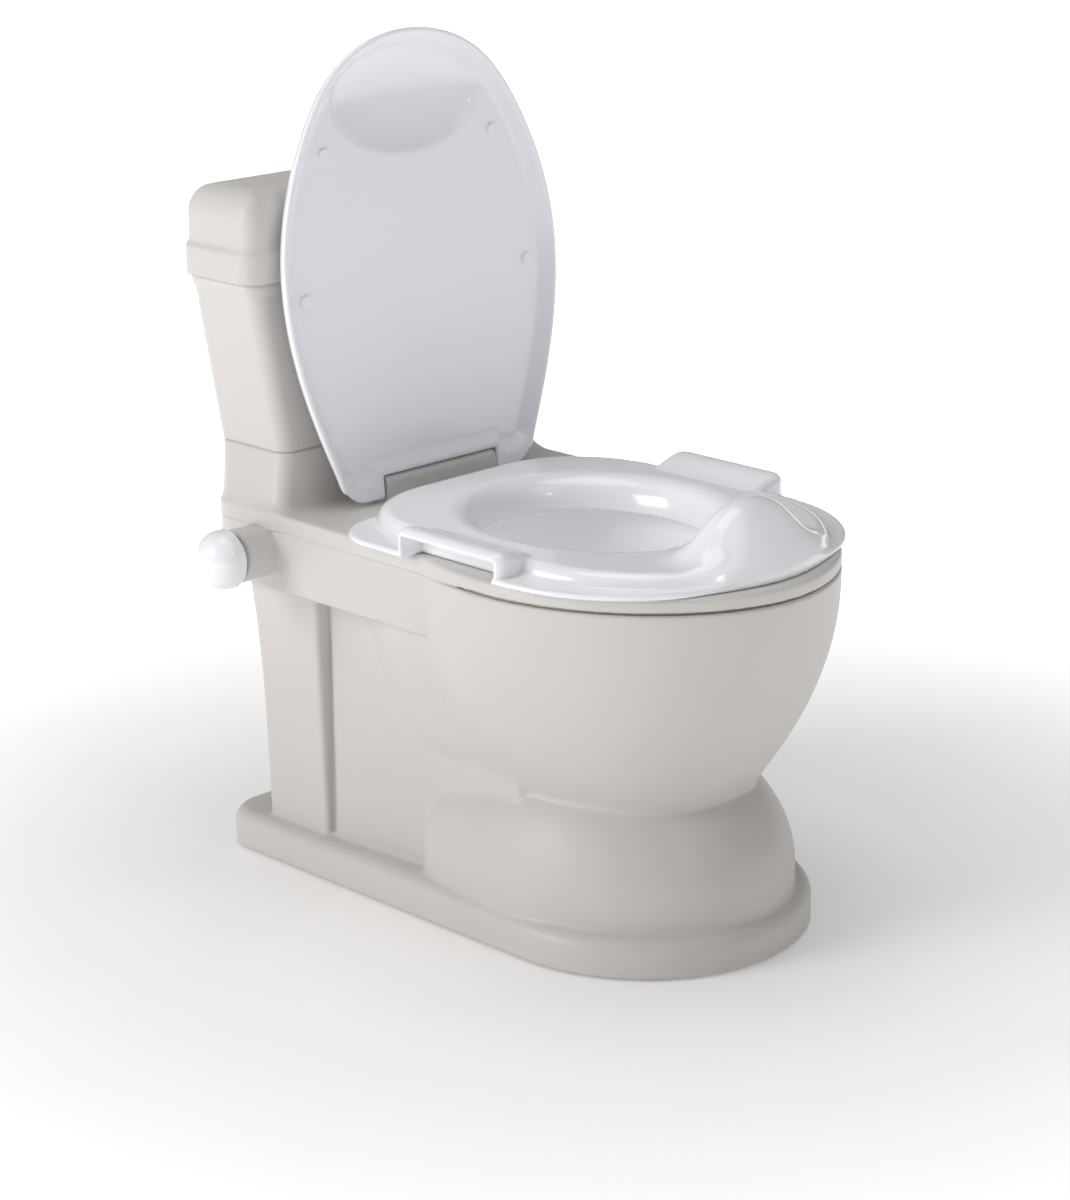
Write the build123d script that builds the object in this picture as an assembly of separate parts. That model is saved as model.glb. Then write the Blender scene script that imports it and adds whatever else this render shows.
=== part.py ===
from build123d import *
import os

# Potty training chair shaped like a small toilet, in millimetres.
# +Z is up and the floor is z = 0. The nose of the bowl points along -Y, the tank stands at +Y,
# and x = 0 is the plane of symmetry. The flush knob is on the -X side.

# ---- Overall sizes ----------------------------------------------------------------------------
SEAT_HEIGHT = 221.4  # top of the deck that the topper rests on
TANK_TOP = 405.0
BODY_REAR = 172.0  # rear of the deck
WALL = 3.0
MOVING_GAP = 0.3  # air between a lift-off piece and what it rests on
FIT_GAP = 0.4  # air round a piece that drops into another
PIN_CLEARANCE = 0.05  # radial, of a running pin

# ---- Plinth and pedestal ----------------------------------------------------------------------
PAD_THICKNESS = 1.5
PAD_RADIUS = 9.0
PLINTH_HALF_WIDTH = 96.5
PLINTH_FRONT = -179.0
PLINTH_NOSE = -83.0  # where the straight sides end and the nose begins
PLINTH_REAR = 175.5
PLINTH_CORNER = 25.0
PLINTH_TOP = 23.0
PLINTH_EDGE = 8.0
COLUMN_INSET = 18.7  # from the ledge's side
COLUMN_FRONT = 89.0
COLUMN_SET_BACK = 30.0  # from the rear of the deck to the rear of the column
COLUMN_CORNER = 5.0
COLUMN_SPREAD = 3.5  # how much wider it is at its top than at its middle, each side
PANEL_INSET = 31.2  # from the ledge's side
FOOT_HALF_WIDTH = 92.0
FOOT_FRONT = -172.0
FOOT_MIDDLE = -60.0
FOOT_REAR = 25.0
FOOT_DOME = 92.0  # height of the top of the foot, inside the bowl
FOOT_STEPS = ((0, 0), (0.4, 1), (0.7, 7), (0.9, 18), (1, 30))  # share of height, narrowing

# ---- Bowl and ledge ---------------------------------------------------------------------------
GROOVE = 1.6  # height of the shadow line between body and deck
DECK_EDGE = 7.6  # height of the deck's visible edge
DECK_ROUND = 2.0  # rounding of the deck's upper edge
LIP_DEPTH = 4.0  # how far the deck's locating lip goes down inside the body
LIP_THICKNESS = 2.0
BOWL_HALF_WIDTH = 114.7
BOWL_FRONT = -193.4
BOWL_MIDDLE = -68.0
BOWL_REAR = 70.0
BOWL_SIDE_POWER = 2.1  # how the side curves from the top to the waist
BOWL_NOSE_POWER = 1.9
BOWL_SECTIONS = 5
WAIST_HEIGHT = 86.0  # where the bowl meets the foot
WAIST_HALF_WIDTH = 69.2
WAIST_FRONT = -144.7
WAIST_MIDDLE = -34.6
WAIST_REAR = 15.0
DRIP_FLOOR = 92.0
LEDGE_HALF_WIDTH = 107.2
LEDGE_HEIGHT = 45.4  # from the underside of the ledge to the top of the deck
LEDGE_FRONT = -30.0
LEDGE_CORNER = 20.0

# ---- Neck, tank and tank lid ------------------------------------------------------------------
NECK_RISE = 32.6  # above the deck
NECK_NARROWING = 10.2  # from the ledge's side to the top of the neck
NECK_DEPTH = 62.0
NECK_FOOT_DEPTH = 69.0
NECK_SET_IN = 3.0  # from the ledge's side to the neck's, at the deck
ACCESS_HALF_WIDTH = 75.0  # opening under the neck for a screwdriver
TANK_SET_BACK = 4.0  # from the rear of the deck to the rear of the tank
TANK_WIDENING = 18.5  # each side, from the neck to the rim
TANK_RIM_DEPTH = 59.0
TANK_LID_HEIGHT = 51.7
TANK_CORNER = 14.0
BEAD_HEIGHT = 6.0
BEAD_STEP = 1.4
BEAD_ROUND = 1.0
TANK_LIP = 3.0  # tank wall that stands up inside the lid's skirt
LID_SKIRT = 18.5
LID_SKIRT_STEP = 1.8
LID_SKIRT_ROUND = 1.5
LID_OVERHANG = 5.2
TANK_LID_EDGE = 14.0

# ---- Toilet lid and its hinge -----------------------------------------------------------------
HINGE_Y = 82.0
HINGE_RISE = 10.1  # above the deck
LID_LEAN = 5.5  # degrees back from upright, when open
LID_LENGTH = 253.0  # from the hinge axis to the tip
LID_RIM = 4.0  # rim plane, in front of the hinge axis
LID_THICKNESS = 10.0
LID_PANEL = 3.0
LID_BACK_EDGE = 4.0
LID_PROFILE = ((76.0, 0.0), (100.8, 0.28), (105.6, 0.54), (84.3, 0.79), (56.3, 0.93))
LID_CORNER = 12.0
RIM_WIDTH = 3.0
DISH_SLOPE = 8.0
DOME_CENTRE = 217.0
DOME_SIZE = (58.0, 32.0, 13.0)
EAR_RADIUS = 6.0
EAR_OUTER = 70.0
EAR_GAP = 1.0  # between the barrel's end and an ear
EAR_STEP = 0.5  # from the rim plane back to the ear's pad
BARREL_HALF_LENGTH = 44.0
BARREL_RADIUS = 4.5
BARREL_GAP = 1.5
PIN_RADIUS = 2.0
PIN_LENGTH = 26.0
PIN_IN_BARREL = 10.0
BUMPER_RADIUS = 4.0
BUMPER_HEIGHT = 2.0  # above the dished panel
BUMPER_PLACES = ((88.0, 111.0), (66.0, 190.0))

# ---- Topper and pot ---------------------------------------------------------------------------
TOPPER_HALF_WIDTH = 100.0
TOPPER_REAR = 68.8
TOPPER_NOSE = -85.0
TOPPER_FRONT = -182.0
TOPPER_CORNER = 40.0
TOPPER_RISE = 10.6  # above the deck
TOPPER_EDGE = 8.0
TOPPER_WALL = 2.8
FLANGE_HALF_WIDTH = 116.4
FLANGE_REAR = 53.0
FLANGE_NOSE = -86.7
FLANGE_FRONT = -177.7
FLANGE_CORNER = 34.0
FLANGE_THICKNESS = 2.8
THROAT_HALF_WIDTH = 62.0
THROAT_HALF_LENGTH = 70.0
THROAT_MIDDLE = -46.0
THROAT_FLARE = 16.0
THROAT_DEPTH = 8.4  # below the top of the deck
THROAT_WIDENING = ((0.0, 0.125), (7.6, 0.5))  # height above the deck, share of the flare
GUARD_Y = -157.0
GUARD_RISE = 4.6  # of the middle of the splash guard, above the deck
GUARD_SIZE = (46.0, 26.0, 36.0)
HANDLE_RISE = 16.1  # above the deck
HANDLE_OUTER = 118.0
HANDLE_INNER = 88.0
HANDLE_REAR = -3.0
HANDLE_LENGTH = 84.0
FINGER_GAP_START = 1.0  # from the ring's side out to the finger gap
POT_HALF_WIDTH = 80.0
POT_HALF_LENGTH = 96.0
POT_DEPTH = 98.0
POT_TAPER = 24.0
POT_RIM = 7.0
POT_WALL = 2.2
POT_RIM_THICKNESS = 2.0
POT_SOFT_EDGE = 8.0  # bevel round the pot's floor

# ---- Flush knob and sound unit ----------------------------------------------------------------
KNOB_Y = 117.0
KNOB_DROP = 23.4  # from the top of the deck to the knob's axis
BOSS_RADIUS = 15.5
BOSS_LENGTH = 21.0
BOSS_WALL = 3.0
KNOB_RADIUS = 17.0
KNOB_DOME = 15.0
KNOB_BAND = 3.0  # straight side behind the dome
KNOB_TRAVEL = 4.0
KNOB_SKIRT_GAP = 0.5
STEM_RADIUS = 5.0
STEM_REACH = 6.6  # from the outside of the body's wall to the stem's end
CLIP_RADIUS = 8.0
CLIP_THICKNESS = 1.0
CLIP_MOUTH = 4.0
GROOVE_DEPTH = 1.0  # of the clip's groove in the stem
SPRING_WIRE = 0.8
SPRING_RADIUS = 8.0
SPRING_TURNS = 4
CASE_SIZE = (24.0, 40.0, 26.0)
CASE_DEPTH = 21.2  # from the outside of the body's wall to the middle of the sound case
CASE_WALL = 2.0
CASE_ARM = 4.0  # half width of the two arms that fix the sound case to the wall
BOARD_THICKNESS = 1.6
BOARD_DEPTH = 16.2  # from the outside of the body's wall to the board
CHIP_PLACE = 11.0  # from the knob's axis to the middle of a chip
CHIP_HALF_SIZE = 4.0
CHIP_HEIGHT = 1.5
SWITCH_SIZE = 6.0
SWITCH_HEIGHT = 3.0
SPEAKER_RADIUS = 11.0
SPEAKER_DEPTH = 7.0
SPEAKER_FLANGE = 2.0

# ---- Batteries and fasteners ------------------------------------------------------------------
CELL_RADIUS = 5.25
CELL_LENGTH = 44.5
CELL_COUNT = 3
CELL_PITCH = 12.0
CELL_CAP = 1.0  # length of the raised end
TRAY_Y = 60.0
TRAY_WALL = 2.0
CELL_FLOOR = 5.6  # air and door under the cells
DOOR_THICKNESS = 2.0
TONGUE_HALF_WIDTH = 8.0  # of the door's tongue, under its screw
TONGUE_REACH = 5.0  # past the middle of the screw
CONTACT_THICKNESS = 0.6
CONTACT_HALF_SIZE = 4.0
COVER_THICKNESS = 3.0
SCREW_RADIUS = 1.5
SCREW_HEAD_RADIUS = 3.0
SCREW_HEAD_HEIGHT = 1.8
DOOR_SCREW_HEAD = 1.0
BOSS_POST_RADIUS = 5.5
BASE_SCREW_LENGTH = 12.0
BASE_SCREW_PLACES = ((82, 125), (82, 25), (86, -62))
PAD_PLACES = ((78, 152), (80, -12), (52, -138))
DECK_SCREW_Y = (75, 152)
DECK_SCREW_INSET = 13.2  # from the ledge's side
TAB_DEPTH = 10.0
TAB_THICKNESS = 3.0
TAB_DROP = 10.0  # from the groove to the top of a tab
DECK_SCREW_LENGTH = 11.0
TANK_SCREW_X = 60.0
TANK_SCREW_LENGTH = 9.0

# ---- Values that follow -----------------------------------------------------------------------
COVER_BOTTOM = PAD_THICKNESS
COVER_TOP = COVER_BOTTOM + COVER_THICKNESS
DECK_BOTTOM = SEAT_HEIGHT - DECK_EDGE
BODY_TOP = DECK_BOTTOM - GROOVE
LEDGE_BOTTOM = SEAT_HEIGHT - LEDGE_HEIGHT
COLUMN_HALF_WIDTH = LEDGE_HALF_WIDTH - COLUMN_INSET
PANEL_HALF_WIDTH = LEDGE_HALF_WIDTH - PANEL_INSET
COLUMN_REAR = BODY_REAR - COLUMN_SET_BACK
NECK_TOP = SEAT_HEIGHT + NECK_RISE
NECK_HALF_WIDTH = LEDGE_HALF_WIDTH - NECK_NARROWING
TANK_REAR = BODY_REAR - TANK_SET_BACK
NECK_FRONT = TANK_REAR - NECK_DEPTH
NECK_FOOT_FRONT = TANK_REAR - NECK_FOOT_DEPTH
TANK_RIM_HALF_WIDTH = NECK_HALF_WIDTH + TANK_WIDENING
TANK_RIM_FRONT = TANK_REAR - TANK_RIM_DEPTH
TANK_LID_BOTTOM = TANK_TOP - TANK_LID_HEIGHT
HINGE_Z = SEAT_HEIGHT + HINGE_RISE
TOPPER_CROWN = SEAT_HEIGHT + TOPPER_RISE
THROAT_BOTTOM = SEAT_HEIGHT - THROAT_DEPTH
GUARD_CENTRE = (0.0, GUARD_Y, SEAT_HEIGHT + GUARD_RISE)
HANDLE_TOP = SEAT_HEIGHT + HANDLE_RISE
KNOB_Z = SEAT_HEIGHT - KNOB_DROP
TOPPER_BOTTOM = SEAT_HEIGHT + MOVING_GAP
POT_TOP = TOPPER_BOTTOM + POT_RIM_THICKNESS
POT_BOTTOM = SEAT_HEIGHT - POT_DEPTH
WALL_X = -LEDGE_HALF_WIDTH
STEM_END = WALL_X + STEM_REACH
CASE_X = WALL_X + CASE_DEPTH
BOARD_X = WALL_X + BOARD_DEPTH
DECK_SCREW_PLACES = [(LEDGE_HALF_WIDTH - DECK_SCREW_INSET, y) for y in DECK_SCREW_Y]
BOSS_END = WALL_X - BOSS_LENGTH
KNOB_BACK = BOSS_END - KNOB_TRAVEL - MOVING_GAP
LID_FRAME = Location((0, HINGE_Y, HINGE_Z), (90 - LID_LEAN, 0, 0))
TAB_TOP = BODY_TOP - TAB_DROP


# ---- Outlines and small solids ----------------------------------------------------------------
def oval(half_width, front, rear, middle, z):
    """Face of two half ellipses at height z, widest at y = middle."""
    centre = (0, middle, z)
    nose = EllipticalCenterArc(centre, half_width, middle - front, start_angle=180, arc_size=180)
    back = EllipticalCenterArc(centre, half_width, rear - middle, start_angle=0, arc_size=180)
    return make_face(nose + back)


def nosed(half_width, front, rear, nose, corner, z):
    """Face with straight sides, rounded rear corners and a half-oval nose from y = nose."""
    block = Pos(0, (nose + rear) / 2) * Rectangle(2 * half_width, rear - nose)
    whole = block + Pos(0, nose) * Ellipse(half_width, nose - front)
    rear_corners = whole.vertices().sort_by(Axis.Y)[-2:]
    return Pos(0, 0, z) * fillet(rear_corners, corner)


def rounded(half_width, front, rear, corner, z):
    """Face of a rectangle with rounded corners."""
    return Pos(0, (front + rear) / 2, z) * RectangleRounded(2 * half_width, rear - front, corner)


def raised(face, height):
    """Extrude a horizontal face upwards."""
    return extrude(face, height, dir=(0, 0, 1))


def block(x_range, y_range, z_range):
    """Box between two values on each axis."""
    size = [high - low for low, high in (x_range, y_range, z_range)]
    middle = [(high + low) / 2 for low, high in (x_range, y_range, z_range)]
    return Pos(*middle) * Box(*size)


def post(x, y, low, high, radius):
    """Upright cylinder."""
    return Pos(x, y, (low + high) / 2) * Cylinder(radius, high - low)


def bar(low, high, y, z, radius):
    """Cylinder along X."""
    return Pos((low + high) / 2, y, z) * Rot(0, 90, 0) * Cylinder(radius, high - low)


def ellipsoid(centre, size):
    """Solid ellipsoid with three half sizes."""
    return Pos(*centre) * scale(Sphere(1), by=tuple(size))


def mirrored(places):
    """The places and their mirror images in x = 0."""
    return [(side * x, y) for x, y in places for side in (1, -1)]


def upward_screw(x, y, bottom, length):
    """Pan-head screw that is driven upwards, its head's underside at z = bottom."""
    head = post(x, y, bottom - SCREW_HEAD_HEIGHT, bottom, SCREW_HEAD_RADIUS)
    recess = post(x, y, bottom - SCREW_HEAD_HEIGHT, bottom - SCREW_HEAD_HEIGHT / 2, SCREW_RADIUS)
    return head + post(x, y, bottom, bottom + length, SCREW_RADIUS) - recess


# ---- Lower body -------------------------------------------------------------------------------
def bowl_section(z, inset):
    """Section of the bowl at height z, moved inwards by inset."""
    fall = (BODY_TOP - z) / (BODY_TOP - WAIST_HEIGHT)
    half_width = BOWL_HALF_WIDTH - (BOWL_HALF_WIDTH - WAIST_HALF_WIDTH) * fall**BOWL_SIDE_POWER
    front = BOWL_FRONT + (WAIST_FRONT - BOWL_FRONT) * fall**BOWL_NOSE_POWER
    middle = BOWL_MIDDLE + (WAIST_MIDDLE - BOWL_MIDDLE) * fall
    rear = BOWL_REAR + (WAIST_REAR - BOWL_REAR) * fall
    return oval(half_width - inset, front + inset, rear - inset, middle, z)


def bowl(inset, bottom):
    """The bowl from the body's top down to a height."""
    step = (bottom - BODY_TOP) / (BOWL_SECTIONS - 1)
    return loft([bowl_section(BODY_TOP + step * k, inset) for k in range(BOWL_SECTIONS)])


def foot(inset):
    """The domed foot under the bowl."""
    sections = []
    for share, narrow in FOOT_STEPS:
        z = PLINTH_TOP - WALL + (FOOT_DOME - inset - PLINTH_TOP + WALL) * share
        inwards = inset + narrow
        half_width = FOOT_HALF_WIDTH - inwards
        sections.append(oval(half_width, FOOT_FRONT + inwards, FOOT_REAR - inwards, FOOT_MIDDLE, z))
    return loft(sections)


def column(inset):
    """Rear column, a little wider at the top than at the bottom."""
    low = PLINTH_TOP - WALL
    high = LEDGE_BOTTOM + WALL
    front = COLUMN_FRONT + inset
    rear = COLUMN_REAR - inset
    sections = []
    for z, spread in ((low, -COLUMN_SPREAD), (high, COLUMN_SPREAD)):
        half_width = COLUMN_HALF_WIDTH + spread - inset
        sections.append(rounded(half_width, front, rear, COLUMN_CORNER - inset, z))
    return loft(sections)


def body_mass(inset):
    """The outer form of the lower body, moved inwards by inset."""
    plinth_low = PAD_THICKNESS if inset == 0 else 0
    plinth = raised(
        nosed(
            PLINTH_HALF_WIDTH - inset,
            PLINTH_FRONT + inset,
            PLINTH_REAR - inset,
            PLINTH_NOSE,
            PLINTH_CORNER - inset,
            plinth_low,
        ),
        PLINTH_TOP - inset - plinth_low,
    )
    if inset == 0:
        plinth = fillet(plinth.edges().group_by(Axis.Z)[-1], PLINTH_EDGE)
    panel = block(
        (inset - PANEL_HALF_WIDTH, PANEL_HALF_WIDTH - inset),
        (FOOT_MIDDLE, COLUMN_FRONT + 2 * WALL),
        (PLINTH_TOP - 2 * WALL, LEDGE_BOTTOM + 2 * WALL),
    )
    ledge_low = LEDGE_BOTTOM + inset
    ledge = raised(ledge_section(inset, LEDGE_FRONT, ledge_low), BODY_TOP - ledge_low)
    upper = bowl(inset, WAIST_HEIGHT - 2 * WALL) + ledge
    return plinth + panel + foot(inset) + column(inset) + upper


def ledge_section(inset, front, z):
    """Plan of the ledge behind the bowl, which the deck follows."""
    return rounded(LEDGE_HALF_WIDTH - inset, front, BODY_REAR - inset, LEDGE_CORNER - inset, z)


def knob_boss():
    """Round boss on the side that houses the knob's spring, with the hole for its stem."""
    boss = bar(BOSS_END, WALL_X + WALL, KNOB_Y, KNOB_Z, BOSS_RADIUS)
    hollow = bar(BOSS_END, WALL_X, KNOB_Y, KNOB_Z, BOSS_RADIUS - BOSS_WALL)
    return boss - hollow


def make_lower_body():
    """Plinth, foot, bowl, column and ledge in one hollow moulding, open below and above."""
    body = body_mass(0) - body_mass(WALL)
    body -= raised(bowl_section(BODY_TOP, WALL), 2 * WALL)
    body -= raised(ledge_section(WALL, 0, BODY_TOP - WALL), 2 * WALL)
    body += raised(bowl_section(DRIP_FLOOR, WALL / 2), WALL)
    for x, y in mirrored(BASE_SCREW_PLACES):
        body += post(x, y, COVER_TOP, PLINTH_TOP - WALL / 2, BOSS_POST_RADIUS)
        body -= post(x, y, COVER_TOP, COVER_BOTTOM + BASE_SCREW_LENGTH, SCREW_RADIUS)
    for x, y in mirrored(DECK_SCREW_PLACES):
        side = 1 if x > 0 else -1
        wall_x = LEDGE_HALF_WIDTH - WALL / 2
        tab_x = sorted((side * wall_x, side * (wall_x - 2 * TAB_DEPTH)))
        tab_z = (TAB_TOP - TAB_THICKNESS, TAB_TOP)
        tab = block(tab_x, (y - TAB_DEPTH / 2, y + TAB_DEPTH / 2), tab_z)
        body += tab - post(x, y, TAB_TOP - TAB_THICKNESS, TAB_TOP, SCREW_RADIUS)
    body += knob_boss()
    body -= bar(WALL_X, WALL_X + WALL, KNOB_Y, KNOB_Z, STEM_RADIUS + PIN_CLEARANCE)
    return body


# ---- Underside --------------------------------------------------------------------------------
def tray_span():
    """X and Y ranges of the inside of the battery tray."""
    half_x = CELL_LENGTH / 2 + CONTACT_THICKNESS + FIT_GAP
    half_y = CELL_COUNT * CELL_PITCH / 2
    return (-half_x, half_x), (TRAY_Y - half_y, TRAY_Y + half_y)


def grown(span, amount):
    """A range with both ends moved outwards."""
    return span[0] - amount, span[1] + amount


def make_base_cover():
    """Plate that closes the underside, with the opening for the battery door."""
    inset = WALL + FIT_GAP
    outline = nosed(
        PLINTH_HALF_WIDTH - inset,
        PLINTH_FRONT + inset,
        PLINTH_REAR - inset,
        PLINTH_NOSE,
        PLINTH_CORNER - inset,
        COVER_BOTTOM,
    )
    cover = raised(outline, COVER_THICKNESS)
    xs, ys = tray_span()
    cover -= block(xs, ys, (COVER_BOTTOM, COVER_TOP))
    for x, y in mirrored(BASE_SCREW_PLACES):
        cover -= post(x, y, COVER_BOTTOM, COVER_TOP, SCREW_RADIUS)
        cover -= post(x, y, COVER_BOTTOM, COVER_BOTTOM + SCREW_HEAD_HEIGHT, SCREW_HEAD_RADIUS)
    screw_y = ys[1] + 2 * SCREW_HEAD_RADIUS
    cover -= post(0, screw_y, COVER_BOTTOM, COVER_TOP, SCREW_RADIUS)
    tongue = ((-TONGUE_HALF_WIDTH, TONGUE_HALF_WIDTH), (ys[1], screw_y + TONGUE_REACH))
    cover -= block(*tongue, (COVER_BOTTOM, COVER_BOTTOM + DOOR_THICKNESS))
    return cover


def make_base_screws():
    """Screws that hold the base cover to the body."""
    return [
        upward_screw(x, y, COVER_BOTTOM + SCREW_HEAD_HEIGHT, BASE_SCREW_LENGTH - SCREW_HEAD_HEIGHT)
        for x, y in mirrored(BASE_SCREW_PLACES)
    ]


def make_floor_pads():
    """Non-slip pads: six round the edge and one under the middle of the cover."""
    places = mirrored(PAD_PLACES) + [(0, 0)]
    return [post(x, y, 0, PAD_THICKNESS, PAD_RADIUS) for x, y in places]


def make_battery_tray():
    """Box above the cover that holds the cells, open below."""
    xs, ys = tray_span()
    top = CELL_FLOOR + 2 * CELL_RADIUS + FIT_GAP
    outside = block(grown(xs, TRAY_WALL), grown(ys, TRAY_WALL), (COVER_TOP, top + TRAY_WALL))
    return outside - block(xs, ys, (COVER_TOP, top))


def cell_rows():
    """Y of each cell's axis."""
    first = TRAY_Y - (CELL_COUNT - 1) * CELL_PITCH / 2
    return [first + k * CELL_PITCH for k in range(CELL_COUNT)]


def make_battery_cells():
    """Small cells side by side, each with its raised end, alternating."""
    cells = []
    z = CELL_FLOOR + CELL_RADIUS
    half = CELL_LENGTH / 2
    for k, y in enumerate(cell_rows()):
        side = 1 if k % 2 == 0 else -1
        body = bar(-half, half - CELL_CAP, y, z, CELL_RADIUS)
        body += bar(half - CELL_CAP, half, y, z, CELL_RADIUS / 3)
        turned = body if side > 0 else Pos(0, y, 0) * Rot(0, 0, 180) * Pos(0, -y, 0) * body
        cells.append(turned)
    return cells


def make_battery_contacts():
    """Sprung plates at both ends of the cells."""
    plates = []
    half = CELL_LENGTH / 2
    z = CELL_FLOOR + CELL_RADIUS
    for side in (1, -1):
        edges = sorted((side * half, side * (half + CONTACT_THICKNESS)))
        for y in cell_rows():
            span_y = grown((y, y), CONTACT_HALF_SIZE)
            plates.append(block(edges, span_y, grown((z, z), CONTACT_HALF_SIZE)))
    return plates


def make_battery_door():
    """Door in the cover, with a tongue under its screw."""
    xs, ys = tray_span()
    screw_y = ys[1] + 2 * SCREW_HEAD_RADIUS
    span_z = (COVER_BOTTOM, COVER_BOTTOM + DOOR_THICKNESS)
    door = block(grown(xs, -FIT_GAP), grown(ys, -FIT_GAP), span_z)
    tongue_x = grown((-TONGUE_HALF_WIDTH, TONGUE_HALF_WIDTH), -FIT_GAP)
    door += block(tongue_x, (ys[1] - FIT_GAP - TRAY_WALL, screw_y + TONGUE_REACH - FIT_GAP), span_z)
    return door - post(0, screw_y, *span_z, SCREW_RADIUS)


def make_door_screw():
    """Screw of the battery door, its head in the pads' thickness."""
    ys = tray_span()[1]
    screw_y = ys[1] + 2 * SCREW_HEAD_RADIUS
    head_low = COVER_BOTTOM - DOOR_SCREW_HEAD
    head = post(0, screw_y, head_low, COVER_BOTTOM, SCREW_HEAD_RADIUS)
    return head + post(0, screw_y, COVER_BOTTOM, COVER_TOP + DOOR_SCREW_HEAD, SCREW_RADIUS)


# ---- Deck and neck ----------------------------------------------------------------------------
def deck_mass(inset, low, high):
    """Plan of the deck between two heights: the bowl's rim joined to the ledge's rear."""
    nose = oval(BOWL_HALF_WIDTH - inset, BOWL_FRONT + inset, BOWL_REAR - inset, BOWL_MIDDLE, low)
    return raised(nose, high - low) + raised(ledge_section(inset, LEDGE_FRONT, low), high - low)


def neck(inset, low, high):
    """Neck that carries the tank, narrowing upwards."""
    rear = TANK_REAR - inset
    corner = TANK_CORNER - inset
    foot_half_width = LEDGE_HALF_WIDTH - NECK_SET_IN - inset
    wide = rounded(foot_half_width, NECK_FOOT_FRONT + inset, rear, corner, low)
    return loft([wide, rounded(NECK_HALF_WIDTH - inset, NECK_FRONT + inset, rear, corner, high)])


def pot_opening(gap, low, high):
    """Solid that fills the deck's opening for the pot."""
    half_length = POT_HALF_LENGTH + gap
    ends = (THROAT_MIDDLE - half_length, THROAT_MIDDLE + half_length)
    return raised(oval(POT_HALF_WIDTH + gap, *ends, THROAT_MIDDLE, low), high - low)


def make_seat_deck():
    """Deck with the pot opening, locating lip, hinge barrel and neck."""
    under = SEAT_HEIGHT - WALL
    deck = deck_mass(0, DECK_BOTTOM, SEAT_HEIGHT)
    deck = fillet(deck.edges().group_by(Axis.Z)[-1], DECK_ROUND)
    deck -= deck_mass(WALL, DECK_BOTTOM, under)
    lip_inset = WALL + FIT_GAP
    lip_inside = lip_inset + LIP_THICKNESS
    lip_low = BODY_TOP - LIP_DEPTH
    deck += deck_mass(lip_inset, lip_low, under) - deck_mass(lip_inside, lip_low, under)
    bridge = deck_mass(WALL / 2, DECK_BOTTOM, DECK_BOTTOM + LIP_THICKNESS)
    deck += bridge - deck_mass(lip_inside, DECK_BOTTOM, under)
    deck += neck(0, SEAT_HEIGHT - WALL, NECK_TOP)
    deck -= neck(WALL, SEAT_HEIGHT, NECK_TOP - WALL)
    access = grown((NECK_FRONT, TANK_REAR), -2 * WALL)
    deck -= block((-ACCESS_HALF_WIDTH, ACCESS_HALF_WIDTH), access, (under - WALL, SEAT_HEIGHT))
    deck -= pot_opening(2 * FIT_GAP, DECK_BOTTOM - WALL, SEAT_HEIGHT + WALL)
    for x, y in mirrored(DECK_SCREW_PLACES):
        deck += post(x, y, TAB_TOP, under + WALL / 2, BOSS_POST_RADIUS)
        deck -= post(x, y, TAB_TOP, TAB_TOP + DECK_SCREW_LENGTH - TAB_THICKNESS, SCREW_RADIUS)
    for side in (1, -1):
        deck -= post(side * TANK_SCREW_X, tank_screw_y(), NECK_TOP - WALL, NECK_TOP, SCREW_RADIUS)
    return deck + hinge_barrel()


def hinge_barrel():
    """Barrel between the lid's ears, on its web, with a blind hole for a pin in each end."""
    barrel = bar(-BARREL_HALF_LENGTH, BARREL_HALF_LENGTH, HINGE_Y, HINGE_Z, BARREL_RADIUS)
    web = block(
        (-BARREL_HALF_LENGTH, BARREL_HALF_LENGTH),
        (HINGE_Y - BARREL_RADIUS, HINGE_Y + BARREL_RADIUS),
        (SEAT_HEIGHT - WALL, HINGE_Z),
    )
    holes = []
    for side in (1, -1):
        ends = sorted((side * BARREL_HALF_LENGTH, side * (BARREL_HALF_LENGTH - PIN_IN_BARREL)))
        holes.append(bar(*ends, HINGE_Y, HINGE_Z, PIN_RADIUS))
    return barrel + web - holes


def make_hinge_pins():
    """Two pins, tight in the barrel and running in the lid's ears."""
    pins = []
    for side in (1, -1):
        inner = side * (BARREL_HALF_LENGTH - PIN_IN_BARREL)
        ends = sorted((inner, inner + side * PIN_LENGTH))
        pins.append(bar(*ends, HINGE_Y, HINGE_Z, PIN_RADIUS))
    return pins


def make_deck_screws():
    """Screws that pull the deck down onto the body's tabs."""
    return [
        upward_screw(x, y, TAB_TOP - TAB_THICKNESS, DECK_SCREW_LENGTH)
        for x, y in mirrored(DECK_SCREW_PLACES)
    ]


# ---- Tank -------------------------------------------------------------------------------------
def tank_screw_y():
    """Y of the screws between neck and tank."""
    return (NECK_FRONT + TANK_REAR) / 2


def tank_section(z, inset):
    """Section of the tank at height z."""
    share = (z - NECK_TOP) / (TANK_LID_BOTTOM - NECK_TOP)
    half_width = NECK_HALF_WIDTH + (TANK_RIM_HALF_WIDTH - NECK_HALF_WIDTH) * share
    front = NECK_FRONT + (TANK_RIM_FRONT - NECK_FRONT) * share
    return rounded(half_width - inset, front + inset, TANK_REAR - inset, TANK_CORNER - inset, z)


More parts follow.
